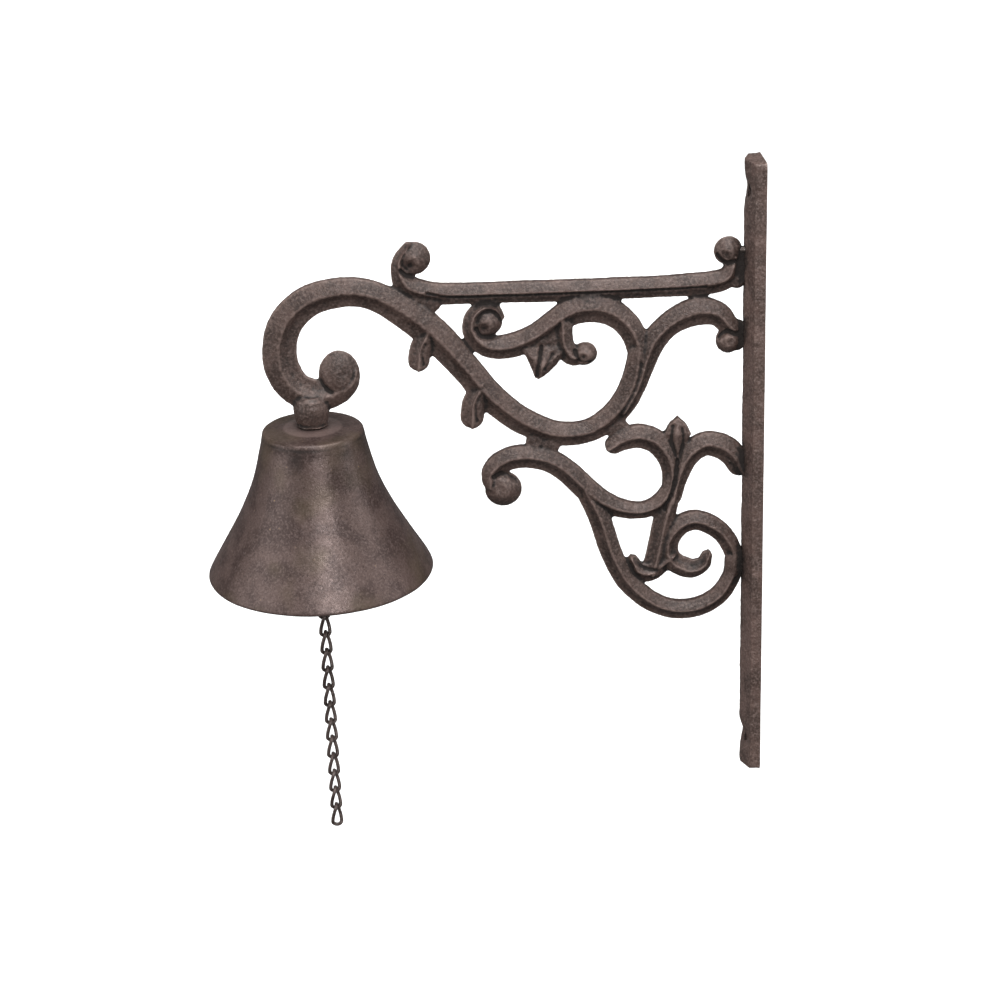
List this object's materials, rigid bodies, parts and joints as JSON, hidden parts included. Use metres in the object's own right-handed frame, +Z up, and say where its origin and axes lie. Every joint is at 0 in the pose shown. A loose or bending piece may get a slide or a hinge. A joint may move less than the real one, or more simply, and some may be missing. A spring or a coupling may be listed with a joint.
{
  "type": "wall mounted bell",
  "caption": "Wall mounted cast iron bell: ridged wall bar, scrollwork bracket, flared bell on a hook, clapper and pull chain.",
  "frame": {"origin": "centre of the wall bar's flat back face", "axes": "+X into the wall, +Z up; the bracket reaches out along -X in the plane Y = 0"},
  "size_m": [0.217, 0.088, 0.2729],
  "materials": {
    "cast_iron": "rough sand casting, antique brown",
    "bell_iron": "sand casting with a soft brown-grey sheen",
    "clapper_iron": "rough dark iron",
    "dark_steel": "browned steel",
    "chain_steel": "browned steel wire"
  },
  "bodies": {
    "frame": {"wall_bar": "cast_iron", "scroll_bracket": "cast_iron", "bracket_screws": "dark_steel", "bell": "bell_iron", "crown_washer": "dark_steel", "crown_nut": "dark_steel", "eye_bolt": "dark_steel"},
    "clapper_ring": {"clapper_ring": "chain_steel"},
    "clapper": {"clapper": "clapper_iron"},
    "chain_link_01": {"chain_link_01": "chain_steel"},
    "chain_link_02": {"chain_link_02": "chain_steel"},
    "chain_link_03": {"chain_link_03": "chain_steel"},
    "chain_link_04": {"chain_link_04": "chain_steel"},
    "chain_link_05": {"chain_link_05": "chain_steel"},
    "chain_link_06": {"chain_link_06": "chain_steel"},
    "chain_link_07": {"chain_link_07": "chain_steel"},
    "chain_link_08": {"chain_link_08": "chain_steel"},
    "chain_link_09": {"chain_link_09": "chain_steel"},
    "chain_link_10": {"chain_link_10": "chain_steel"},
    "chain_link_11": {"chain_link_11": "chain_steel"},
    "chain_link_12": {"chain_link_12": "chain_steel"},
    "chain_link_13": {"chain_link_13": "chain_steel"}
  },
  "joints": [
    {"name": "clapper_swing", "type": "hinge", "parent": "frame", "child": "clapper_ring", "pos_m": [-0.173, 0, 0.01015], "axis": [0, 1, 0], "range_deg": [-36, 36]},
    {"name": "clapper_tilt", "type": "hinge", "parent": "clapper_ring", "child": "clapper", "pos_m": [-0.173, 0, 0.00325], "axis": [1, 0, 0], "range_deg": [-12, 12]},
    {"name": "chain_link_01_swing", "type": "hinge", "parent": "clapper", "child": "chain_link_01", "pos_m": [-0.173, 0, -0.04275], "axis": [0, -1, 0], "range_deg": [-45, 45]},
    {"name": "chain_link_02_swing", "type": "hinge", "parent": "chain_link_01", "child": "chain_link_02", "pos_m": [-0.173, 0, -0.05055], "axis": [-1, 0, 0], "range_deg": [-45, 45]},
    {"name": "chain_link_03_swing", "type": "hinge", "parent": "chain_link_02", "child": "chain_link_03", "pos_m": [-0.173, 0, -0.05835], "axis": [0, 1, 0], "range_deg": [-45, 45]},
    {"name": "chain_link_04_swing", "type": "hinge", "parent": "chain_link_03", "child": "chain_link_04", "pos_m": [-0.173, 0, -0.06615], "axis": [1, 0, 0], "range_deg": [-45, 45]},
    {"name": "chain_link_05_swing", "type": "hinge", "parent": "chain_link_04", "child": "chain_link_05", "pos_m": [-0.173, 0, -0.07395], "axis": [0, -1, 0], "range_deg": [-45, 45]},
    {"name": "chain_link_06_swing", "type": "hinge", "parent": "chain_link_05", "child": "chain_link_06", "pos_m": [-0.173, 0, -0.08175], "axis": [-1, 0, 0], "range_deg": [-45, 45]},
    {"name": "chain_link_07_swing", "type": "hinge", "parent": "chain_link_06", "child": "chain_link_07", "pos_m": [-0.173, 0, -0.08955], "axis": [0, 1, 0], "range_deg": [-45, 45]},
    {"name": "chain_link_08_swing", "type": "hinge", "parent": "chain_link_07", "child": "chain_link_08", "pos_m": [-0.173, 0, -0.09735], "axis": [1, 0, 0], "range_deg": [-45, 45]},
    {"name": "chain_link_09_swing", "type": "hinge", "parent": "chain_link_08", "child": "chain_link_09", "pos_m": [-0.173, 0, -0.10515], "axis": [0, -1, 0], "range_deg": [-45, 45]},
    {"name": "chain_link_10_swing", "type": "hinge", "parent": "chain_link_09", "child": "chain_link_10", "pos_m": [-0.173, 0, -0.11295], "axis": [-1, 0, 0], "range_deg": [-45, 45]},
    {"name": "chain_link_11_swing", "type": "hinge", "parent": "chain_link_10", "child": "chain_link_11", "pos_m": [-0.173, 0, -0.12075], "axis": [0, 1, 0], "range_deg": [-45, 45]},
    {"name": "chain_link_12_swing", "type": "hinge", "parent": "chain_link_11", "child": "chain_link_12", "pos_m": [-0.173, 0, -0.12855], "axis": [1, 0, 0], "range_deg": [-45, 45]},
    {"name": "chain_link_13_swing", "type": "hinge", "parent": "chain_link_12", "child": "chain_link_13", "pos_m": [-0.173, 0, -0.13635], "axis": [0, -1, 0], "range_deg": [-45, 45]}
  ]
}
